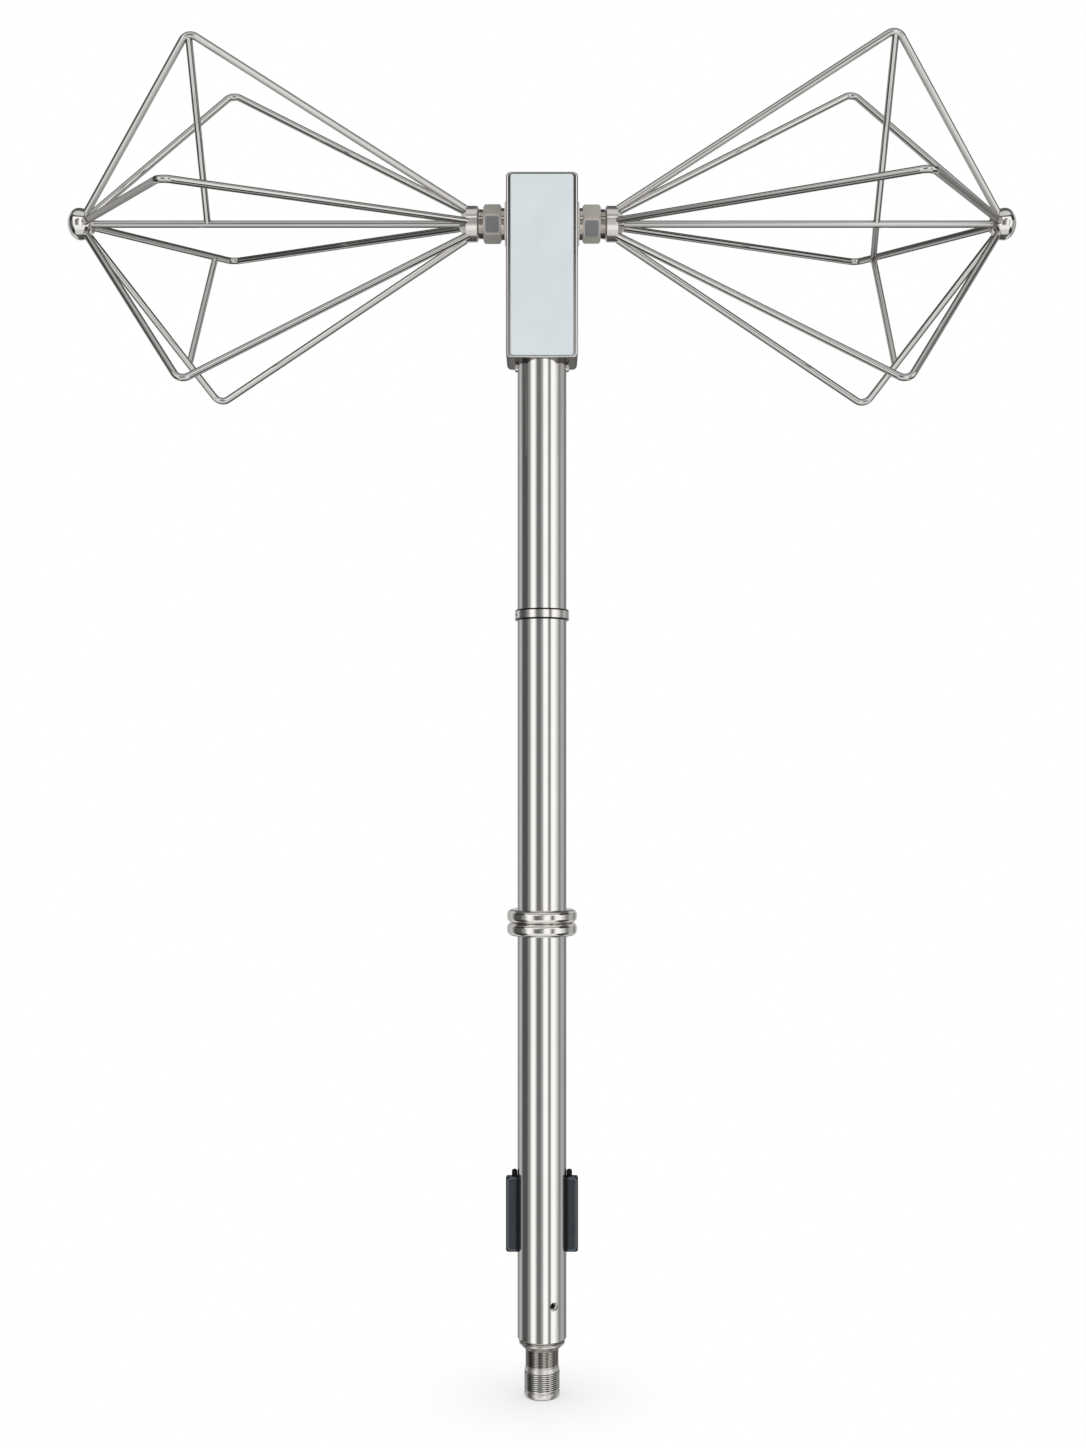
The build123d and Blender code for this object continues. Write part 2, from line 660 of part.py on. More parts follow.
# The two arms. Every piece is drawn in the plane of the arm and turned about its axis.
for arm, side in sides.items():
    profile_plane = cage_plane(side)
    rods = cage_rods[arm]

    # Insulator: shank in the wall of the box, flange against it on the outside.
    with BuildPart() as insulator:
        with BuildSketch(profile_plane):
            with BuildLine():
                Polyline(
                    (inner_wall_x, stud_inner_d / 2),
                    (inner_wall_x, insulator_shank_d / 2),
                    (wall_x, insulator_shank_d / 2),
                    (wall_x, insulator_flange_d / 2),
                    (stud_collar_x, insulator_flange_d / 2),
                    (stud_collar_x, stud_inner_d / 2),
                    close=True,
                )
            make_face()
        revolve(axis=arm_axis())
    save(insulator, f"{arm}_insulator")

    with BuildPart() as inner_washer:
        with BuildSketch(Plane(origin=(side * washer_x, 0, dipole_z), z_dir=(side, 0, 0))):
            Circle(washer_d / 2)
            Circle(stud_inner_d / 2, mode=Mode.SUBTRACT)
        extrude(amount=washer_thickness)
    save(inner_washer, f"{arm}_inner_washer")

    with BuildPart() as inner_nut:
        with BuildSketch(Plane(origin=(side * strap_x, 0, dipole_z), z_dir=(-side, 0, 0))):
            RegularPolygon(inner_nut_flats / 2, 6, major_radius=False)
            Circle(stud_inner_d / 2, mode=Mode.SUBTRACT)
        extrude(amount=inner_nut_height)
    save(inner_nut, f"{arm}_inner_nut")

    # Stud: thin end into the box, collar, thick thread for the lock nut, tip in the hub.
    with BuildPart() as feed_stud:
        with BuildSketch(profile_plane):
            with BuildLine():
                Polyline(
                    (stud_inner_x, 0),
                    (stud_inner_x, stud_inner_d / 2),
                    (stud_collar_x, stud_inner_d / 2),
                    (stud_collar_x, stud_collar_d / 2 - 0.3),
                    (stud_collar_x + 0.3, stud_collar_d / 2),
                    (nut_x, stud_collar_d / 2),
                    (nut_x, stud_thread_d / 2),
                    (stud_thread_x, stud_thread_d / 2),
                    (stud_thread_x, stud_tip_d / 2),
                    (stud_thread_x + stud_tip, stud_tip_d / 2),
                    (stud_thread_x + stud_tip, 0),
                    close=True,
                )
            make_face()
        revolve(axis=arm_axis())
    save(feed_stud, f"{arm}_feed_stud")

    # Lock nut: a hexagon prism with eased long edges, turned down at both end faces.
    flat_r = lock_nut_flats / 2
    corner_r = flat_r / cos(radians(30)) + 0.1
    bevel = lock_nut_bevel
    with BuildPart() as lock_nut:
        with BuildSketch(Plane(origin=(nut_x * side, 0, dipole_z), x_dir=(0, -1, 0), z_dir=(side, 0, 0))):
            RegularPolygon(
                flat_r, 6, major_radius=False, rotation=30 + side * lock_nut_turn[arm]
            )
            fillet(vertices(), radius=lock_nut_edge)
        extrude(amount=lock_nut_height)
        with BuildSketch(profile_plane):
            with BuildLine():
                Polyline(
                    (nut_x, stud_thread_d / 2),
                    (nut_x, flat_r - 0.1),
                    (nut_x + bevel, corner_r),
                    (nut_x + lock_nut_height - bevel, corner_r),
                    (nut_x + lock_nut_height, flat_r - 0.1),
                    (nut_x + lock_nut_height, stud_thread_d / 2),
                    close=True,
                )
            make_face()
        revolve(axis=arm_axis(), mode=Mode.INTERSECT)
    save(lock_nut, f"{arm}_lock_nut")

    # Rod hub: cup with a conical nose. The six rod holes leave it at the rim of the nose.
    with BuildPart() as rod_hub:
        with BuildSketch(profile_plane):
            with BuildLine():
                Polyline(
                    (stud_thread_x, stud_tip_d / 2),
                    (stud_thread_x, hub_d / 2 - 1.5 * hub_back_bevel),
                    (stud_thread_x + hub_back_bevel, hub_d / 2),
                    (hub_shoulder_x, hub_d / 2),
                    (hub_tip_x, hub_tip_d / 2),
                    (hub_tip_x, rod_d / 2),
                    (axial_rod_hub_x, rod_d / 2),
                    (axial_rod_hub_x, 0),
                    (stud_thread_x + stud_tip, 0),
                    (stud_thread_x + stud_tip, stud_tip_d / 2),
                    close=True,
                )
            make_face()
        revolve(axis=arm_axis())
        for rod in rods:
            plane = cage_plane(side, rod[0])
            inner, corner, outer = rod_points(rod)
            start = plane.from_local_coords(inner)
            with BuildSketch(Plane(origin=start, z_dir=plane.from_local_coords(corner) - start)):
                Circle(rod_d / 2)
            extrude(amount=3 * rod_d, mode=Mode.SUBTRACT)
    save(rod_hub, f"{arm}_rod_hub")

    # End knob: ball-shaped toward the rods, a flatter dome outward.
    knob_r = knob_d / 2
    knob_face_r = sqrt(knob_r**2 - (knob_x - knob_face_x) ** 2)
    with BuildPart() as end_knob:
        with BuildSketch(profile_plane):
            with BuildLine():
                Line((axial_rod_knob_x, 0), (axial_rod_knob_x, rod_d / 2))
                Line((axial_rod_knob_x, rod_d / 2), (knob_face_x, rod_d / 2))
                Line((knob_face_x, rod_d / 2), (knob_face_x, knob_face_r))
                ThreePointArc(
                    (knob_face_x, knob_face_r),
                    (
                        knob_x - (knob_x - knob_face_x) / 2,
                        sqrt(knob_r**2 - ((knob_x - knob_face_x) / 2) ** 2),
                    ),
                    (knob_x, knob_r),
                )
                EllipticalCenterArc((knob_x, 0), knob_dome, knob_r, start_angle=0, arc_size=90)
                Line((knob_x + knob_dome, 0), (axial_rod_knob_x, 0))
            make_face()
        revolve(axis=arm_axis())
        for rod in rods:
            plane = cage_plane(side, rod[0])
            inner, corner, outer = rod_points(rod)
            start = plane.from_local_coords(outer)
            with BuildSketch(Plane(origin=start, z_dir=plane.from_local_coords(corner) - start)):
                Circle(rod_d / 2)
            extrude(amount=3 * rod_d, mode=Mode.SUBTRACT)
    save(end_knob, f"{arm}_end_knob")

    # Straight rod from the hub to the knob.
    axial_rod = straight_bar(
        Vector(side * axial_rod_hub_x, 0, dipole_z),
        Vector(side * axial_rod_knob_x, 0, dipole_z),
        rod_d,
    )
    save(axial_rod, f"{arm}_axial_rod")

    # Six bent rods.
    bars = []
    for number, rod in enumerate(rods, start=1):
        cage_rod = sweep_rod(side, rod)
        bars.append(cage_rod)
        save(cage_rod, f"{arm}_rod_{number}")

    # Braces, cut to fit the round of the rods they stand on.
    crossing = Vector(side * brace_axial_x, 0, dipole_z)
    top_bend = bend_apex(side, rods[0])
    on_rod_5 = outer_leg_point(side, rods[4], brace_from_bend_rod_5)
    on_rod_4 = outer_leg_point(side, rods[3], brace_from_bend_rod_4)
    with BuildPart() as upper_brace:
        add(straight_bar(top_bend, crossing, brace_d).part)
        add(bars[0].part, mode=Mode.SUBTRACT)
        add(axial_rod.part, mode=Mode.SUBTRACT)
    save(upper_brace, f"{arm}_upper_brace")

    with BuildPart() as lower_brace:
        add(straight_bar(on_rod_5, on_rod_4, brace_d).part)
        add(bars[4].part, mode=Mode.SUBTRACT)
        add(bars[3].part, mode=Mode.SUBTRACT)
    save(lower_brace, f"{arm}_lower_brace")

    # Only the right cage has a brace between the axial rod and rod 5.
    if arm == "right":
        with BuildPart() as middle_brace:
            add(straight_bar(crossing, on_rod_5, brace_d).part)
            add(axial_rod.part, mode=Mode.SUBTRACT)
            add(bars[4].part, mode=Mode.SUBTRACT)
            add(lower_brace.part, mode=Mode.SUBTRACT)
            add(upper_brace.part, mode=Mode.SUBTRACT)
        save(middle_brace, f"{arm}_middle_brace")
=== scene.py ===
# %% [markdown]
# # Dressing a biconical antenna
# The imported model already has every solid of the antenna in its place: a stainless mast,
# a small box on top of it, and two cages of bent rods. What it lacks is what the eye
# reads as metal: finish, thread, light. This lesson adds those, one step at a time. The
# frame comes first, and its pieces stay where they are.

# %% The fixed frame
import bpy
import json
from math import cos, pi, radians, sin
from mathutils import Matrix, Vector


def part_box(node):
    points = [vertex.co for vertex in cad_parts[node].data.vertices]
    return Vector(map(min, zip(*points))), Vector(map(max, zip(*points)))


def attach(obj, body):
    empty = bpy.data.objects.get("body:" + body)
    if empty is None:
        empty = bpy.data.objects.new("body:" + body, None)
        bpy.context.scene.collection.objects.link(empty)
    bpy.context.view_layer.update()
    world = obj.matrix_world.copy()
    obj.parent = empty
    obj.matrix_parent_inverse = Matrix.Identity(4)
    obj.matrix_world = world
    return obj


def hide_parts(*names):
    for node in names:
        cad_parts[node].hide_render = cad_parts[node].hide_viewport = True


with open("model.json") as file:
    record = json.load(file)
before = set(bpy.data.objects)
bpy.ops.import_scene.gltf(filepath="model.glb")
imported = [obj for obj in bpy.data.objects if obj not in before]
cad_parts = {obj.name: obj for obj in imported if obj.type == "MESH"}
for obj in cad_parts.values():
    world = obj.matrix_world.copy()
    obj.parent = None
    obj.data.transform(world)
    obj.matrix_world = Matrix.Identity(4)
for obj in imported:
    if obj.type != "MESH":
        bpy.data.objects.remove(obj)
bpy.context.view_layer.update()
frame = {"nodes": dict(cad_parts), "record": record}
print("pieces in the frame:", len(frame["nodes"]))

# %% [markdown]
# ## Camera
# The photograph is taken from the front at about half the height of the antenna, with the
# camera level. Level matters: the edges of the box and of the mast stay parallel. The mast
# then lands below the middle of the picture, so the lens is shifted up, as a product
# photographer would shift it, and not tilted.

# %% Camera
picture_height = 1448
focus_in_pixels = 1750.0
rise_in_pixels = 56.0
sensor_size = 36.0
camera_aside = 0.00045
camera_distance = 0.7875
eye_height = 0.277

lens_data = bpy.data.cameras.new("camera")
lens_data.sensor_width = sensor_size
lens_data.lens = sensor_size * focus_in_pixels / picture_height
lens_data.shift_y = rise_in_pixels / picture_height
camera = bpy.data.objects.new("camera", lens_data)
camera.location = (camera_aside, -camera_distance, eye_height)
camera.rotation_euler = (radians(90), 0, 0)
bpy.context.scene.collection.objects.link(camera)
bpy.context.scene.camera = camera
bpy.context.scene.view_settings.view_transform = "Standard"
print("lens, mm:", round(lens_data.lens, 2), "rise:", round(lens_data.shift_y, 4))

# %% [markdown]
# ## Studio
# Polished tube is a mirror that is bent one way: it shows the room as upright stripes. A
# product photographer stands tall white panels and black flags round the object, and hangs
# white cloth over it. Real panels could be modelled, but they are the same from top to
# bottom, so a sky that is painted by compass direction gives the same stripes with
# nothing in the way.

# %% Panels and flags by compass direction
# Where each one starts and ends, in degrees away from the front of the antenna, and how
# bright it is. The light fades evenly from one to the next.
right_panels = [
    (0, 1, 0.30), (10, 24, 0.96), (33, 37, 0.20), (47, 62, 0.96), (80, 81, 0.45),
    (91, 93, 0.20), (104, 122, 0.40), (131, 133, 0.20), (158, 180, 0.50),
]
left_panels = [
    (0, 1, 0.30), (9, 22, 0.15), (35, 47, 0.96), (60, 65, 0.25), (75, 102, 0.08),
    (118, 122, 0.50), (140, 144, 0.40), (158, 180, 0.50),
]


def both_edges(panels):
    """Two stops for each panel or flag, one at each of its edges."""
    return [(edge, grey) for start, end, grey in panels for edge in (start, end)]


right_stripes = both_edges(right_panels)
left_stripes = both_edges(left_panels)
print("panels and flags:", len(right_panels) + len(left_panels))

# %% [markdown]
# The sky is a net of small nodes, and a few helpers keep it readable. The first two do
# arithmetic and blend two greys.

# %% The empty sky
sky = bpy.data.worlds.new("studio")
sky.use_nodes = True
sky.cycles.sampling_method = "NONE"
bpy.context.scene.world = sky
sky_nodes, sky_links = sky.node_tree.nodes, sky.node_tree.links
sky_nodes.clear()


def sky_math(kind, first, second=None):
    """One step of arithmetic on values of the sky or plain numbers."""
    step = sky_nodes.new("ShaderNodeMath")
    step.operation = kind
    for place, value in enumerate((first, second)):
        if isinstance(value, (int, float)):
            step.inputs[place].default_value = value
        elif value is not None:
            sky_links.new(value, step.inputs[place])
    return step.outputs[0]


def sky_mix(share, first, second):
    """The first grey where the share is 0 and the second one where it is 1."""
    blend = sky_nodes.new("ShaderNodeMix")
    blend.data_type = "RGBA"
    sky_links.new(share, blend.inputs["Factor"])
    sky_links.new(first, blend.inputs[6])
    sky_links.new(second, blend.inputs[7])
    return blend.outputs[2]


print("sky:", sky.name)

# %% [markdown]
# A colour ramp turns a value into a row of greys. The value here is the compass: it is 0 in
# front of the antenna, and it runs to 1 behind it round the right side and to -1 round the
# left one. Each side has its own row of stripes. The filler of ramps is used again below,
# for the finishes.

# %% Upright stripes


def fill_ramp(ramp, stops):
    """Gives a colour ramp its stops, each of them a place from 0 to 1 and a colour."""
    row = ramp.color_ramp.elements
    while len(row) < len(stops):
        row.new(0.5)
    for mark, (place, colour) in zip(row, stops):
        mark.position = place
    for mark, (place, colour) in zip(row, stops):
        mark.color = (*colour, 1)


def sky_ramp(value, stops):
    """A row of greys along a value that runs from 0 to 1."""
    ramp = sky_nodes.new("ShaderNodeValToRGB")
    fill_ramp(ramp, [(place, (grey, grey, grey)) for place, grey in stops])
    sky_links.new(value, ramp.inputs[0])
    return ramp.outputs[0]


def compass_ramp(value, stops):
    """A row of greys whose places are degrees away from the front."""
    return sky_ramp(value, [(degrees / 180, grey) for degrees, grey in stops])


direction = sky_nodes.new("ShaderNodeSeparateXYZ")
sky_links.new(sky_nodes.new("ShaderNodeTexCoord").outputs["Generated"], direction.inputs[0])
to_right, to_back, to_top = direction.outputs
to_front = sky_math("MULTIPLY", to_back, -1.0)
compass = sky_math("DIVIDE", sky_math("ARCTAN2", to_right, to_front), pi)
right_side = compass_ramp(compass, right_stripes)
left_side = compass_ramp(sky_math("MULTIPLY", compass, -1.0), left_stripes)
stripes = sky_mix(sky_math("LESS_THAN", to_right, 0.0), right_side, left_side)
print("sky nodes for the stripes:", len(sky_nodes))

# %% [markdown]
# Above the stripes the white goes on in front, with a dark hood over the lens that the
# rims of the box mirror. Higher up comes a dark roof, whose lights end over the antenna.
# Below the stripes are white panels, and then a pale floor that ends under the antenna.
# Straight to both sides it is dark, behind that comes a paler patch, and the back of the
# room is dark again: the flanks of a round bar mirror those parts, and that draws its
# outline. How far up or down a direction points is given as the sine of its angle, and a
# soft step leads from one part of the room to the next.

# %% Above and below the stripes


def sky_band(value, start, end):
    """A soft step from 0 at the start to 1 at the end."""
    fade = sky_nodes.new("ShaderNodeMapRange")
    fade.interpolation_type = "SMOOTHSTEP"
    sky_links.new(value, fade.inputs["Value"])
    fade.inputs["From Min"].default_value = start
    fade.inputs["From Max"].default_value = end
    return fade.outputs[0]


downward = sky_math("MULTIPLY", to_top, -1.0)
turned = sky_math("ABSOLUTE", compass)
depth = sky_math("ADD", sky_math("MULTIPLY", to_back, 0.5), 0.5)
high_panels = compass_ramp(turned, [
    (0, 0.96), (58, 0.96), (66, 0.03), (108, 0.03),
    (120, 0.50), (150, 0.50), (160, 0.10), (180, 0.10)])
low_panels = compass_ramp(turned, [
    (0, 0.82), (52, 0.80), (60, 0.03), (108, 0.03),
    (120, 0.55), (150, 0.55), (160, 0.05), (180, 0.05)])
camera_hood = sky_ramp(to_top, [(0.0, 0.03), (0.385, 0.03), (0.42, 0.96), (1.0, 0.96)])
roof_lights = sky_ramp(to_top, [(0.0, 0.05), (0.68, 0.05), (0.75, 0.56), (1.0, 0.56)])
roof_behind = sky_nodes.new("ShaderNodeRGB")
roof_behind.outputs[0].default_value = (0.10, 0.10, 0.10, 1)
room_floor = sky_ramp(depth, [(0.0, 0.62), (0.50, 0.60), (0.57, 0.08), (1.0, 0.08)])

high_front = sky_mix(sky_band(turned, 8 / 180, 13 / 180), camera_hood, high_panels)
roof = sky_mix(sky_band(to_back, -0.06, 0.06), roof_lights, roof_behind.outputs[0])
above = sky_mix(sky_band(to_top, 0.55, 0.62), high_front, roof)
with_above = sky_mix(sky_band(to_top, 0.266, 0.290), stripes, above)
with_low_panels = sky_mix(sky_band(downward, 0.345, 0.40), with_above, low_panels)
reflected = sky_mix(sky_band(downward, 0.74, 0.84), with_low_panels, room_floor)
print("sky nodes for the whole room:", len(sky_nodes))

# %% [markdown]
# Only what is mirrored comes from this room. Matt surfaces and the camera get plain white
# light instead, so the plate keeps its own colour and the background stays white.

# %% Light for mirrors and light for the rest
mirror_light = sky_nodes.new("ShaderNodeBackground")
mirror_light.inputs["Strength"].default_value = 1.18
sky_links.new(reflected, mirror_light.inputs["Color"])
plain_light = sky_nodes.new("ShaderNodeBackground")
plain_light.inputs["Color"].default_value = (1, 1, 1, 1)
plain_light.inputs["Strength"].default_value = 1.0
choice = sky_nodes.new("ShaderNodeMixShader")
sky_links.new(sky_nodes.new("ShaderNodeLightPath").outputs["Is Glossy Ray"], choice.inputs[0])
sky_links.new(plain_light.outputs[0], choice.inputs[1])
sky_links.new(mirror_light.outputs[0], choice.inputs[2])
sky_links.new(choice.outputs[0], sky_nodes.new("ShaderNodeOutputWorld").inputs["Surface"])
print("sky nodes:", len(sky_nodes))

# %% [markdown]
# ## Floor
# The antenna is photographed on white, with only a breath of shadow round its foot. A
# matt white floor catches that shadow, and a few centimetres further out it turns into
# plain white light, so that no horizon shows.

# %% Floor
floor_radius = 4.0
shadow_start, shadow_end = 0.012, 0.075
light_at_foot = 0.35

bpy.ops.object.select_all(action="DESELECT")
bpy.ops.mesh.primitive_circle_add(
    vertices=96, radius=floor_radius, fill_type="NGON", location=(0, 0, 0))
floor = bpy.context.active_object
floor.name = "floor"
floor.visible_glossy = False
floor_paint = bpy.data.materials.new("white_floor")
floor_paint.use_nodes = True
floor_nodes, floor_links = floor_paint.node_tree.nodes, floor_paint.node_tree.links
floor_nodes.clear()
from_centre = floor_nodes.new("ShaderNodeVectorMath")
from_centre.operation = "LENGTH"
floor_links.new(floor_nodes.new("ShaderNodeTexCoord").outputs["Object"], from_centre.inputs[0])
fade_out = floor_nodes.new("ShaderNodeMapRange")
fade_out.interpolation_type = "SMOOTHSTEP"
fade_out.inputs["From Min"].default_value = shadow_start
fade_out.inputs["From Max"].default_value = shadow_end
fade_out.inputs["To Min"].default_value = light_at_foot
floor_links.new(from_centre.outputs["Value"], fade_out.inputs["Value"])
matt_white = floor_nodes.new("ShaderNodeBsdfDiffuse")
matt_white.inputs["Color"].default_value = (0.98, 0.98, 0.98, 1)
white_light = floor_nodes.new("ShaderNodeEmission")
to_white = floor_nodes.new("ShaderNodeMixShader")
floor_links.new(fade_out.outputs[0], to_white.inputs[0])
floor_links.new(matt_white.outputs[0], to_white.inputs[1])
floor_links.new(white_light.outputs[0], to_white.inputs[2])
floor_links.new(to_white.outputs[0], floor_nodes.new("ShaderNodeOutputMaterial").inputs["Surface"])
floor.data.materials.append(floor_paint)
print("floor radius, m:", floor_radius)

# %% [markdown]
# ## Finishes
# Nearly everything here is metal, yet no two parts are finished alike: the mast is drawn
# and ground tube, the knobs are polished, the nuts are plain milled hexagon. Each finish
# is a clear base tone with a cloud of slight stain, a roughness that wanders, and a grain
# that runs the way the tool ran. One helper makes them all from those few choices.

# %% The finish maker


def grain_pattern(nodes, links, stretch, detail, distortion=0.0):
    """Noise that is squeezed along some axes, so that it reads as tool marks."""
    place = nodes.new("ShaderNodeTexCoord")
    squeeze = nodes.new("ShaderNodeMapping")
    squeeze.inputs["Scale"].default_value = stretch
    noise = nodes.new("ShaderNodeTexNoise")
    noise.inputs["Scale"].default_value = 1.0
    noise.inputs["Detail"].default_value = detail
    noise.inputs["Distortion"].default_value = distortion
    links.new(place.outputs["Object"], squeeze.inputs["Vector"])
    links.new(squeeze.outputs["Vector"], noise.inputs["Vector"])
    return noise.outputs["Fac"]


def make_finish(name, tone, shade, rough, wander, grain, height, clouds=45.0, metal=1.0, edge=1.0):
    """A surface finish. tone and shade are its two colours, rough and wander its gloss,
    grain the stretch of the tool marks per metre, and height their depth in metres. An
    edge under 1 lets the metal mirror less where it is seen almost along its surface."""
    finish = bpy.data.materials.new(name)
    finish.use_nodes = True
    nodes, links = finish.node_tree.nodes, finish.node_tree.links
    surface = nodes["Principled BSDF"]
    surface.inputs["Metallic"].default_value = metal
    surface.inputs["Specular Tint"].default_value = (edge, edge, edge, 1)
    stain = nodes.new("ShaderNodeValToRGB")
    fill_ramp(stain, [(0.30, shade), (0.70, tone)])
    links.new(grain_pattern(nodes, links, (clouds, clouds, clouds), 3.0, 0.6), stain.inputs[0])
    links.new(stain.outputs[0], surface.inputs["Base Color"])
    marks = grain_pattern(nodes, links, grain, 4.0)
    gloss = nodes.new("ShaderNodeMapRange")
    gloss.inputs["From Min"].default_value = 0.25
    gloss.inputs["From Max"].default_value = 0.75
    gloss.inputs["To Min"].default_value = rough - wander
    gloss.inputs["To Max"].default_value = rough + wander
    links.new(marks, gloss.inputs["Value"])
    links.new(gloss.outputs[0], surface.inputs["Roughness"])
    relief = nodes.new("ShaderNodeBump")
    relief.inputs["Strength"].default_value = 0.6
    relief.inputs["Distance"].default_value = height
    links.new(marks, relief.inputs["Height"])
    links.new(relief.outputs[0], surface.inputs["Normal"])
    return finish


print("helper ready:", make_finish.__name__)

# %% [markdown]
# The mast tube is ground between wheels while it turns, which leaves hair lines round it.
# They are far too fine to see one by one, but they soften the stripes a little. Collars
# and ring are turned on a lathe and carry coarser rings. The rods are polished after
# bending, so their marks have no direction.

# %% Steels
finishes = {}
finishes["mast_steel"] = make_finish(
    "ground_tube_steel", (0.860, 0.846, 0.828), (0.835, 0.820, 0.800),
    0.065, 0.02, (90, 90, 7000), 2e-6, edge=0.5)
finishes["collar_steel"] = make_finish(
    "turned_collar_steel", (0.855, 0.835, 0.805), (0.820, 0.798, 0.765),
    0.09, 0.02, (60, 60, 5200), 2e-6)
finishes["turned_steel"] = make_finish(
    "polished_steel", (0.865, 0.848, 0.822), (0.835, 0.815, 0.785),
    0.13, 0.03, (4200, 90, 90), 1.5e-6, edge=0.5)
finishes["nut_steel"] = make_finish(
    "milled_nut_steel", (0.470, 0.442, 0.405), (0.445, 0.417, 0.380),
    0.36, 0.04, (2600, 260, 260), 2e-6, metal=0.4)
finishes["rod_steel"] = make_finish(
    "polished_rod_steel", (0.660, 0.644, 0.620), (0.625, 0.609, 0.585),
    0.05, 0.02, (1300, 1300, 1300), 1e-6, edge=0.5)
finishes["housing_steel"] = make_finish(
    "satin_box_steel", (0.740, 0.725, 0.705), (0.705, 0.690, 0.668),
    0.12, 0.03, (220, 220, 5200), 2e-6, edge=0.2)
print("steel finishes:", len(finishes))

# %% [markdown]
# The rest is softer: a matt silver plate, a moulded clip, white insulation, nickel and
# gold in the socket, tin on the straps, fired ferrite. The plate is anodised, so it
# scatters light almost like paint and looks bluish beside the warm steel.

# %% Other finishes
finishes["plate_silver"] = make_finish(
    "anodised_plate", (0.740, 0.795, 0.822), (0.665, 0.725, 0.752),
    0.46, 0.05, (140, 140, 6000), 5e-6, clouds=38.0, metal=0.15)
finishes["clip_plastic"] = make_finish(
    "moulded_clip_painted_edges", (0.115, 0.135, 0.160), (0.098, 0.117, 0.142),
    0.40, 0.06, (1500, 1500, 1500), 1e-5, clouds=160.0, metal=0.0)
finishes["white_insulation"] = make_finish(
    "white_insulation", (0.82, 0.81, 0.78), (0.75, 0.74, 0.70),
    0.42, 0.05, (900, 900, 900), 1e-5, clouds=120.0, metal=0.0)
finishes["connector_nickel"] = make_finish(
    "nickel_plate", (0.860, 0.840, 0.810), (0.820, 0.800, 0.768),
    0.33, 0.04, (120, 120, 5200), 3e-6)
finishes["gold_contact"] = make_finish(
    "gold_plate", (0.880, 0.660, 0.300), (0.800, 0.580, 0.240),
    0.18, 0.05, (300, 300, 4000), 5e-6)
finishes["tinned_copper"] = make_finish(
    "tinned_copper", (0.700, 0.690, 0.670), (0.590, 0.570, 0.545),
    0.34, 0.07, (500, 500, 500), 1e-5)
finishes["black_screw"] = make_finish(
    "black_oxide", (0.020, 0.019, 0.019), (0.010, 0.010, 0.011),
    0.55, 0.07, (2200, 2200, 2200), 8e-6, metal=0.0)
finishes["small_screws"] = make_finish(
    "screw_steel", (0.780, 0.762, 0.735), (0.700, 0.680, 0.650),
    0.22, 0.05, (1800, 1800, 1800), 8e-6)
finishes["ferrite"] = make_finish(
    "fired_ferrite", (0.050, 0.048, 0.047), (0.028, 0.027, 0.027),
    0.62, 0.08, (2400, 2400, 2400), 2e-5, metal=0.0)
finishes["plain_aluminium"] = make_finish(
    "plain_aluminium", (0.840, 0.845, 0.850), (0.790, 0.795, 0.800),
    0.32, 0.06, (60, 60, 4500), 8e-6)
print("finishes:", sorted(finishes))

# %% [markdown]
# Each solid of the frame says in the record which finish slot it has, so the finishes
# find their pieces by name. A few pieces get a finish of their own afterwards.

# %% Finishes on the frame
slot_of_node = {}
for part in frame["record"]["subparts"]:
    slot_of_node[part["node"]] = part["material_slot"]
for node, piece in frame["nodes"].items():
    piece.data.materials.clear()
    piece.data.materials.append(finishes[slot_of_node[node]])


def dress(node, finish):
    """Gives a piece of the frame a finish of its own."""
    frame["nodes"][node].data.materials[0] = finish


print("pieces with a finish:", len(slot_of_node))

# %% [markdown]
# Some finishes change from place to place on a piece: painted shade and painted highlights
# are put into their colour below. One helper lets the tone follow any value of the surface.
# Another makes such a value: it marks a patch of a flat face as the part of it that a thin
# rounded box cuts.

# %% Tones that follow the shape


def tone_by(finish, value, stops):
    """Multiplies the finish's colour by a tone that depends on a value of the surface."""
    nodes, links = finish.node_tree.nodes, finish.node_tree.links
    surface = nodes["Principled BSDF"]
    stain = surface.inputs["Base Color"].links[0].from_socket
    ramp = nodes.new("ShaderNodeValToRGB")
    fill_ramp(ramp, stops)
    links.new(value, ramp.inputs[0])
    blend = nodes.new("ShaderNodeMix")
    blend.data_type = "RGBA"
    blend.blend_type = "MULTIPLY"
    blend.inputs["Factor"].default_value = 1.0
    links.new(stain, blend.inputs[6])
    links.new(ramp.outputs[0], blend.inputs[7])
    links.new(blend.outputs[2], surface.inputs["Base Color"])


def inside_box(finish, centre, turn, half_size, corner, fade):
    """Is 1 inside a rounded box that is turned about X, and 0 outside, in metres."""
    nodes, links = finish.node_tree.nodes, finish.node_tree.links
    place = nodes.new("ShaderNodeMapping")
    place.vector_type = "TEXTURE"
    place.inputs["Location"].default_value = centre
    place.inputs["Rotation"].default_value = (turn, 0, 0)
    links.new(nodes.new("ShaderNodeTexCoord").outputs["Object"], place.inputs["Vector"])
    value = place.outputs["Vector"]
    steps = (
        ("ABSOLUTE", None),
        ("SUBTRACT", [half - corner for half in half_size]),
        ("MAXIMUM", (0, 0, 0)),
        ("LENGTH", None),
    )
    for kind, amount in steps:
        step = nodes.new("ShaderNodeVectorMath")
        step.operation = kind
        links.new(value, step.inputs[0])
        if amount is not None:
            step.inputs[1].default_value = amount
        value = step.outputs["Value" if kind == "LENGTH" else "Vector"]
    share = nodes.new("ShaderNodeMapRange")
    share.inputs["From Min"].default_value = corner + fade
    share.inputs["From Max"].default_value = corner - fade
    links.new(value, share.inputs["Value"])
    return share.outputs[0]


print("helpers ready:", tone_by.__name__, inside_box.__name__)
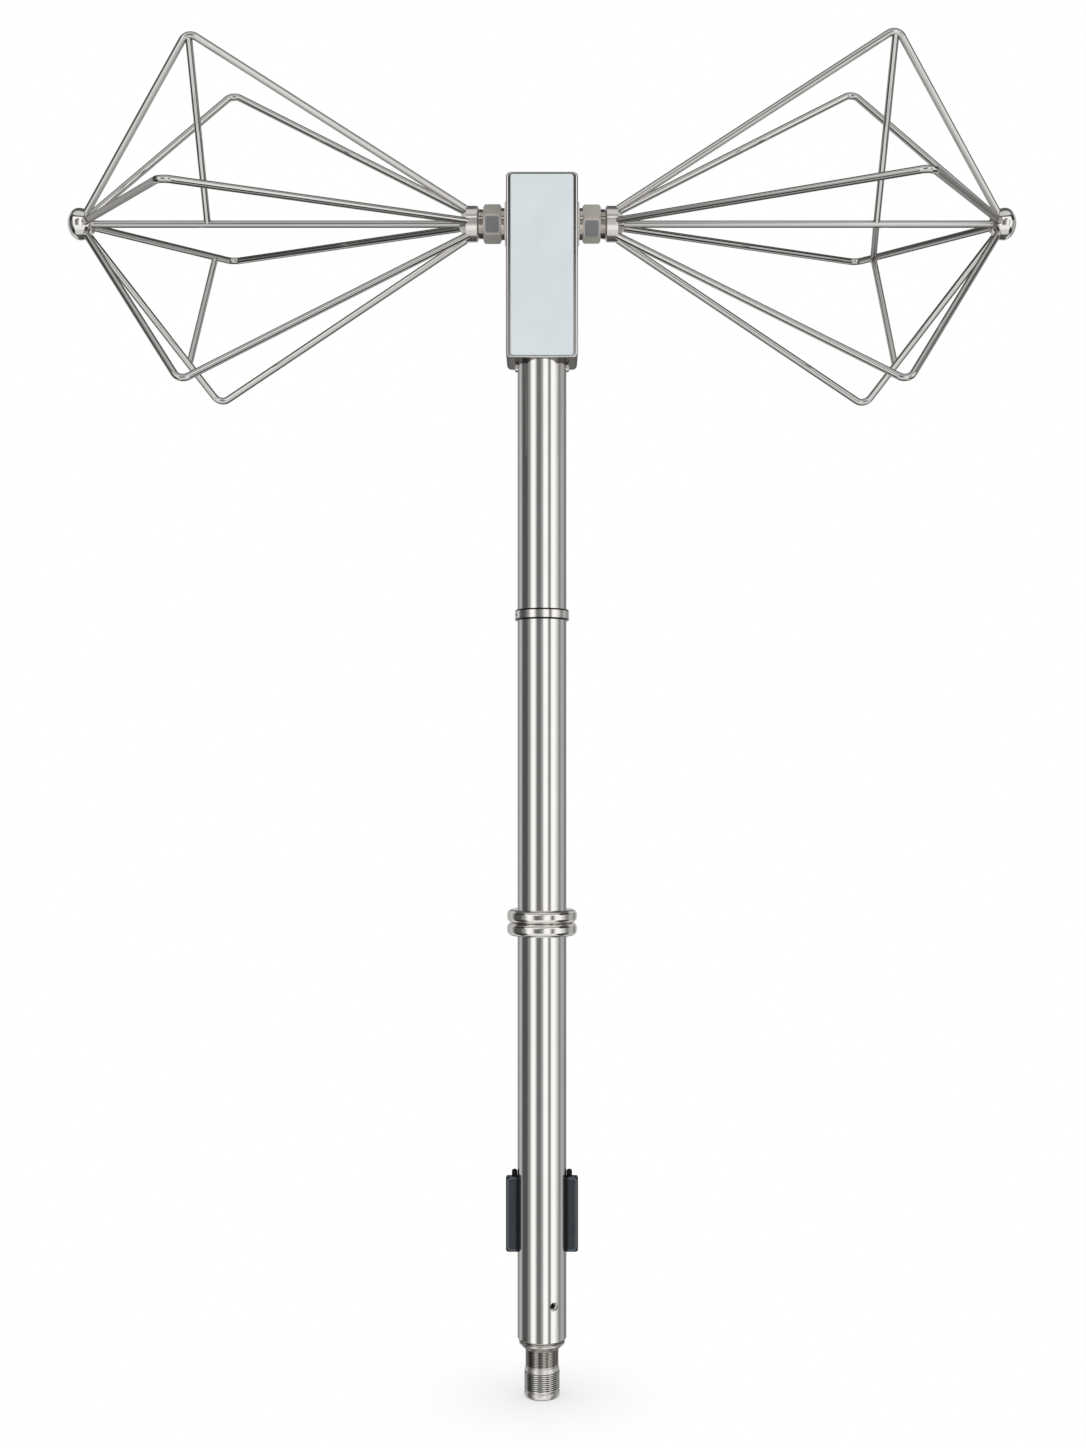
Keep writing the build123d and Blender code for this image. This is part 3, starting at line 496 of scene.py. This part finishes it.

# %% [markdown]
# On each lock nut the flat that faces the camera is painted darker inside a rounded patch,
# a painted shade; the rest of the nut keeps its tone. The two nuts came to rest at different
# turns, so the flat that faces the camera leans a little more on the right one.

# %% Lock nuts
flat_distance = 0.0075
painted_shade_half_size = (0.0031, 0.0010, 0.0036)
painted_shade_corner, painted_shade_fade = 0.0009, 0.0002
painted_shade_tone, untouched = (0.40, 0.44, 0.49), (1, 1, 1)
for arm, degrees_down in (("left", 18.0), ("right", 32.0)):
    low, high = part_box(f"{arm}_lock_nut")
    centre = [(low[i] + high[i]) / 2 for i in range(3)]
    turn = radians(degrees_down)
    forward, down = flat_distance * cos(turn), flat_distance * sin(turn)
    on_flat = (centre[0], centre[1] - forward, centre[2] - down)
    nut_finish = finishes["nut_steel"].copy()
    nut_finish.name = f"nut_steel_{arm}"
    # painted shade: a rounded patch on the flat that faces the camera is darkened
    painted_shade_patch = inside_box(nut_finish, on_flat, turn, painted_shade_half_size, painted_shade_corner, painted_shade_fade)
    tone_by(nut_finish, painted_shade_patch, [(0.0, untouched), (1.0, painted_shade_tone)])
    dress(f"{arm}_lock_nut", nut_finish)
    print("dark flat on:", nut_finish.name)

# %% [markdown]
# The socket at the foot has two threads, a coarse one for the coupling nut of a cable and a
# finer one on the shank above it, whose nickel is much darker. In each thread the colour is
# painted darker towards the roots, a painted shade in the hollows, so the tone follows the
# distance from the thread's axis. The ridges are made further down, but their radii are
# needed here.

# %% Finishes of the socket's threads


def distance_share(finish, centre, keep, inner, outer):
    """Runs from 0 at the inner distance to 1 at the outer one, in metres. keep has a 1 for
    each direction that counts: (1, 1, 0) measures from an upright axis, (0, 0, 1) up and
    down only."""
    nodes, links = finish.node_tree.nodes, finish.node_tree.links
    place = nodes.new("ShaderNodeMapping")
    place.vector_type = "POINT"
    place.inputs["Location"].default_value = [-c * k for c, k in zip(centre, keep)]
    place.inputs["Scale"].default_value = keep
    links.new(nodes.new("ShaderNodeTexCoord").outputs["Object"], place.inputs["Vector"])
    length = nodes.new("ShaderNodeVectorMath")
    length.operation = "LENGTH"
    links.new(place.outputs["Vector"], length.inputs[0])
    share = nodes.new("ShaderNodeMapRange")
    share.inputs["From Min"].default_value = inner
    share.inputs["From Max"].default_value = outer
    links.new(length.outputs["Value"], share.inputs["Value"])
    return share.outputs[0]


# Radii in millimetres. A ridge ends a hair inside the cylinder that the frame has there.
coupling_crest, coupling_root = 7.95, 7.32
shank_crest, shank_root = 7.4, 7.08
ridge_gap = 0.01

coupling_finish = make_finish(
    "coupling_thread_nickel", (0.86, 0.84, 0.81), (0.82, 0.795, 0.76),
    0.20, 0.03, (120, 120, 5200), 2e-6)
coupling_height = distance_share(
    coupling_finish, (0, 0, 0), (1, 1, 0), coupling_root / 1000, (coupling_crest - ridge_gap) / 1000)
# painted shade: darker towards the roots of the coupling thread
tone_by(coupling_finish, coupling_height, [
    (0.0, (0.05, 0.045, 0.04)), (0.55, (0.20, 0.19, 0.175)), (0.86, untouched)])
shank_finish = make_finish(
    "shank_thread_nickel", (0.42, 0.395, 0.37), (0.36, 0.335, 0.31),
    0.04, 0.01, (120, 120, 5200), 2e-6)
shank_height = distance_share(
    shank_finish, (0, 0, 0), (1, 1, 0), shank_root / 1000, (shank_crest - ridge_gap) / 1000)
# painted shade: darker towards the roots of the shank thread
tone_by(shank_finish, shank_height, [
    (0.0, (0.035, 0.025, 0.02)), (0.55, (0.12, 0.095, 0.08)), (0.86, (1, 0.98, 0.95))])
print("thread finishes:", coupling_finish.name, shank_finish.name)

# %% [markdown]
# The turned pieces of an arm were not finished alike either: the domed knob at its end is
# polished, the hub that takes the rods is left satin, and the threaded stud is browner.

# %% Knobs, hubs and studs
knob_finish = make_finish(
    "polished_knob_steel", (0.880, 0.862, 0.835), (0.850, 0.830, 0.800),
    0.09, 0.02, (4200, 90, 90), 1.5e-6)
hub_finish = make_finish(
    "satin_hub_steel", (0.865, 0.842, 0.810), (0.835, 0.810, 0.775),
    0.22, 0.03, (4200, 90, 90), 2e-6)
stud_finish = make_finish(
    "stud_thread_steel", (0.60, 0.545, 0.50), (0.50, 0.45, 0.40),
    0.06, 0.02, (5200, 120, 120), 2e-6, edge=0.2)
for arm in ("left", "right"):
    dress(f"{arm}_feed_stud", stud_finish)
    dress(f"{arm}_rod_hub", hub_finish)
    dress(f"{arm}_end_knob", knob_finish)
print("finishes of an arm:", knob_finish.name, hub_finish.name, stud_finish.name)

# %% [markdown]
# The index ring is painted black along its top and bottom edges, a painted shade above and
# below its bright face, so its tone follows the height. The plug in the foot of the mast is
# turned a little duller than the collars.

# %% Index ring and plug
ring_shade_band = 0.0010
ring_low, ring_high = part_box("index_ring")
ring_middle = (ring_low[2] + ring_high[2]) / 2
ring_half = (ring_high[2] - ring_low[2]) / 2
ring_finish = finishes["collar_steel"].copy()
ring_finish.name = "index_ring_steel"
toward_painted_edge_shade = distance_share(
    ring_finish, (0, 0, ring_middle), (0, 0, 1), ring_half - ring_shade_band, ring_half)
# painted shade: black bands along the ring's top and bottom edges
tone_by(ring_finish, toward_painted_edge_shade, [(0.0, untouched), (0.20, untouched), (0.35, (0.02, 0.02, 0.02))])
dress("index_ring", ring_finish)

plug_finish = make_finish(
    "turned_plug_steel", (0.850, 0.832, 0.805), (0.820, 0.800, 0.770),
    0.30, 0.03, (60, 60, 5200), 2e-6)
dress("end_plug", plug_finish)
print("ring height, mm:", round(ring_half * 2000, 2))

# %% [markdown]
# The clip is moulded. Just inside its rounded outer edge a thin white line is painted, a
# painted highlight, and the edge itself is painted black, a painted shade; its two pegs get
# the same black. Where it meets the tube it is painted darker, a painted shade too. The box
# that marks its slate grey face runs through it from front to back, so only its outline
# counts.

# %% Clip
peg_height = 0.0028
clip_edge = 0.0011
edge_round = 0.0012
through_all = 1.0
tube_side, shade_end = 0.0113, 0.0121
# the white is a painted highlight and the black a painted shade; slate is the clip's own grey
slate, painted_highlight, black = (0.36, 0.36, 0.36), (1, 1, 1), (0.05, 0.05, 0.05)

clip_low, clip_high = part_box("mast_clip")
clip_top = clip_high[2] - peg_height
clip_middle = (clip_low[2] + clip_top) / 2
clip_half = (clip_top - clip_low[2]) / 2
clip_finish = finishes["clip_plastic"]
face_half_size = (clip_high[0] - clip_edge, through_all, clip_half - clip_edge)
face = inside_box(clip_finish, (0, 0, clip_middle), 0, face_half_size, edge_round, edge_round)
# painted shade in black at the outer edge, and a painted highlight in white just inside it
tone_by(clip_finish, face, [(0.0, black), (0.12, black), (0.40, painted_highlight), (0.62, slate), (1.0, slate)])
painted_shade_by_tube = distance_share(clip_finish, (0, 0, 0), (1, 0, 0), tube_side, shade_end)
# painted shade: darker where the clip meets the tube
tone_by(clip_finish, painted_shade_by_tube, [(0.0, (0.15, 0.15, 0.15)), (1.0, untouched)])
clip_finish.node_tree.nodes["Principled BSDF"].inputs["Specular IOR Level"].default_value = 0.15
print("clip height, mm:", round(clip_half * 2000, 2))

# %% [markdown]
# ## Connector shell
# The socket at the foot is turned from bar and threaded. The frame has it as a plain
# cylinder at the size of the crests, which is right for fitting but looks like a stub. So
# the shell is turned again here with its thread cut to the root, ring by ring: a circle is
# extruded and scaled along the lathe profile, and the last ring is bridged to the first.

# %% A lathe
smooth_under = radians(32)


def turn_on_lathe(name, profile, sides_round=96):
    """A closed ring body from (radius, height) points in millimetres."""
    bpy.ops.object.select_all(action="DESELECT")
    radius, height = profile[0]
    bpy.ops.mesh.primitive_circle_add(
        vertices=sides_round, radius=radius / 1000, location=(0, 0, height / 1000))
    piece = bpy.context.active_object
    piece.name = name
    bpy.ops.object.mode_set(mode="EDIT")
    bpy.ops.mesh.select_all(action="SELECT")
    for next_radius, next_height in profile[1:]:
        rise = (next_height - height) / 1000
        grow = next_radius / radius
        bpy.ops.mesh.extrude_edges_move(TRANSFORM_OT_translate={"value": (0, 0, rise)})
        bpy.ops.transform.resize(value=(grow, grow, 1))
        radius, height = next_radius, next_height
    bpy.ops.mesh.select_all(action="DESELECT")
    bpy.ops.mesh.select_non_manifold(extend=False)
    bpy.ops.mesh.bridge_edge_loops()
    bpy.ops.mesh.select_all(action="SELECT")
    bpy.ops.mesh.normals_make_consistent(inside=False)
    bpy.ops.object.mode_set(mode="OBJECT")
    bpy.ops.object.transform_apply(location=True, rotation=True, scale=True)
    bpy.ops.object.shade_smooth_by_angle(angle=smooth_under)
    return piece


print("smooth under, degrees:", round(smooth_under * 180 / pi))

# %% [markdown]
# The profile starts at the open mouth. It goes up the outside, over the rounded nose, a
# groove, the core of the coupling thread, a cone and the core of the shank, and comes
# back down through the narrow bore of the feed line and the wide mouth.

# %% Shell of the socket
nose_inside, nose_curve = 6.65, 1.3
nose = [
    (nose_inside + nose_curve * sin(radians(a)), nose_curve - nose_curve * cos(radians(a)))
    for a in (18, 36, 54, 72, 90)
]
groove = [(coupling_crest, 2.62), (coupling_crest - 0.08, 2.7), (7.3, 2.72), (7.3, 3.05)]
coupling_core = [(coupling_root, 3.1), (coupling_root, 12.0), (coupling_crest - 0.1, 12.1)]
cone_end = [(shank_crest + 0.02, 13.86)]
shank_core = [(shank_root, 13.95), (shank_root, 22.6), (shank_crest, 22.7), (shank_crest, 46.0)]
bore_and_mouth = [(1.79, 46.0), (1.79, 38.0), (4.2, 38.0), (4.2, 0.8)]
outside = [(5.0, 0.0), (nose_inside, 0.0)] + nose + groove + coupling_core + cone_end + shank_core
connector_shell = turn_on_lathe("connector_shell", outside + bore_and_mouth)
connector_shell.data.materials.append(finishes["connector_nickel"])
print("connector shell faces:", len(connector_shell.data.polygons))

# %% [markdown]
# ## Threads
# A thread is one ridge wound round a core. Rings would be quicker, but a real helix shows
# its slope where the stripes of light run over it. Both ends of a wound ridge are open at
# first, and they are drawn together to a point, as a cut thread runs out.

# %% Run-out of a thread


def draw_ends_together(ridge):
    """Merges the open ring of corners at each end of the ridge to one point."""
    for last in (False, True):
        bpy.ops.object.mode_set(mode="EDIT")
        bpy.ops.mesh.select_mode(type="VERT")
        bpy.ops.mesh.select_all(action="DESELECT")
        bpy.ops.mesh.select_non_manifold(extend=False)
        bpy.ops.object.mode_set(mode="OBJECT")
        rim = sorted((v for v in ridge.data.vertices if v.select), key=lambda v: v.co.z)
        middle_height = (rim[0].co.z + rim[-1].co.z) / 2
        for vertex in rim:
            vertex.select = last or vertex.co.z <= middle_height
        bpy.ops.object.mode_set(mode="EDIT")
        bpy.ops.mesh.merge(type="CENTER")
        bpy.ops.mesh.select_all(action="SELECT")
        bpy.ops.mesh.normals_make_consistent(inside=False)
        bpy.ops.object.mode_set(mode="OBJECT")


print("helper ready:", draw_ends_together.__name__)

# %% [markdown]
# The ridge starts as a small plane whose outer edge is pinched to a crest. Its face is
# deleted, so that only the outline is left, and the Screw modifier winds that up.

# %% Thread maker
sunk_in_core = 0.12
base_share = 0.94


def wind_thread(name, core, crest, start, pitch, turns, crest_share=0.62, steps_a_turn=72):
    """A helical ridge about Z that starts at the back. All sizes in millimetres."""
    bpy.ops.object.select_all(action="DESELECT")
    sunk = core - sunk_in_core
    middle = (sunk + crest) / 2000
    ridge_depth = (crest - sunk) / 1000
    ridge_base = pitch * base_share / 1000
    bpy.ops.mesh.primitive_plane_add(
        size=1, location=(middle, 0, start / 1000), rotation=(pi / 2, 0, 0))
    ridge = bpy.context.active_object
    ridge.name = name
    bpy.ops.object.transform_apply(location=True, rotation=True, scale=True)
    bpy.ops.object.mode_set(mode="EDIT")
    bpy.ops.mesh.select_all(action="SELECT")
    bpy.ops.transform.resize(
        value=(ridge_depth, 1, ridge_base), center_override=(middle, 0, start / 1000))
    bpy.ops.mesh.delete(type="ONLY_FACE")
    bpy.ops.object.mode_set(mode="OBJECT")
    for vertex in ridge.data.vertices:
        vertex.select = vertex.co.x > middle
    for edge in ridge.data.edges:
        edge.select = all(ridge.data.vertices[v].select for v in edge.vertices)
    bpy.ops.object.mode_set(mode="EDIT")
    bpy.ops.transform.resize(value=(1, 1, crest_share))
    bpy.ops.object.mode_set(mode="OBJECT")
    winding = ridge.modifiers.new("winding", "SCREW")
    winding.axis = "Z"
    winding.angle = 2 * pi * turns
    winding.screw_offset = pitch * turns / 1000
    winding.steps = winding.render_steps = steps_a_turn * turns
    winding.use_merge_vertices = False
    bpy.ops.object.modifier_apply(modifier=winding.name)
    draw_ends_together(ridge)
    ridge.rotation_euler = (0, 0, pi / 2)
    bpy.ops.object.transform_apply(location=True, rotation=True, scale=True)
    bpy.ops.object.shade_smooth_by_angle(angle=smooth_under)
    return ridge


print("a ridge takes of its pitch:", base_share)

# %% [markdown]
# The coupling thread starts just above the groove, and the shank thread just above the cone.
# The crests of the coupling thread are narrower, which leaves wider roots with painted shade.

# %% Threads on the socket
coupling_thread = wind_thread(
    "coupling_thread", coupling_root, coupling_crest - ridge_gap, start=3.5, pitch=0.90, turns=9,
    crest_share=0.50)
coupling_thread.data.materials.append(coupling_finish)
shank_thread = wind_thread(
    "shank_thread", shank_root, shank_crest - ridge_gap, start=14.35, pitch=0.70, turns=11)
shank_thread.data.materials.append(shank_finish)
print("thread faces:", len(coupling_thread.data.polygons), len(shank_thread.data.polygons))

# %% [markdown]
# Between each lock nut and its hub a short piece of the stud shows, and it is threaded
# too. The same maker winds that thread about Z, and it is then laid along the arm. Its
# pitch is found from the gap, so that two turns fill the gap and end before the hub.

# %% Stud threads
stud_root, stud_crest = 6.12, 6.5
pitches_in_gap = 2.7
pitches_before_start = 0.35
for arm, side in (("left", -1), ("right", 1)):
    nut_low, nut_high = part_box(f"{arm}_lock_nut")
    hub_low, hub_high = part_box(f"{arm}_rod_hub")
    nut_end = nut_high[0] if side > 0 else -nut_low[0]
    hub_end = hub_low[0] if side > 0 else -hub_high[0]
    stud_pitch = (hub_end - nut_end) * 1000 / pitches_in_gap
    stud_start = nut_end * 1000 + pitches_before_start * stud_pitch
    thread = wind_thread(
        f"{arm}_stud_thread", stud_root, stud_crest, start=stud_start, pitch=stud_pitch, turns=2)
    thread.rotation_euler = (0, side * pi / 2, 0)
    thread.location = (0, 0, (nut_low[2] + nut_high[2]) / 2)
    bpy.ops.object.transform_apply(location=True, rotation=True, scale=True)
    thread.data.materials.append(stud_finish)
    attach(thread, "root")
    print(thread.name, "pitch, mm:", round(stud_pitch, 2))

# %% [markdown]
# The shell takes the place of the plain cylinder of the frame. The two ridges sit on it.

# %% Connector in place
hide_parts("connector_body")
for piece in (connector_shell, coupling_thread, shank_thread):
    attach(piece, "root")
print("connector foot at, mm:", round(min(v.co.z for v in connector_shell.data.vertices) * 1000, 3))
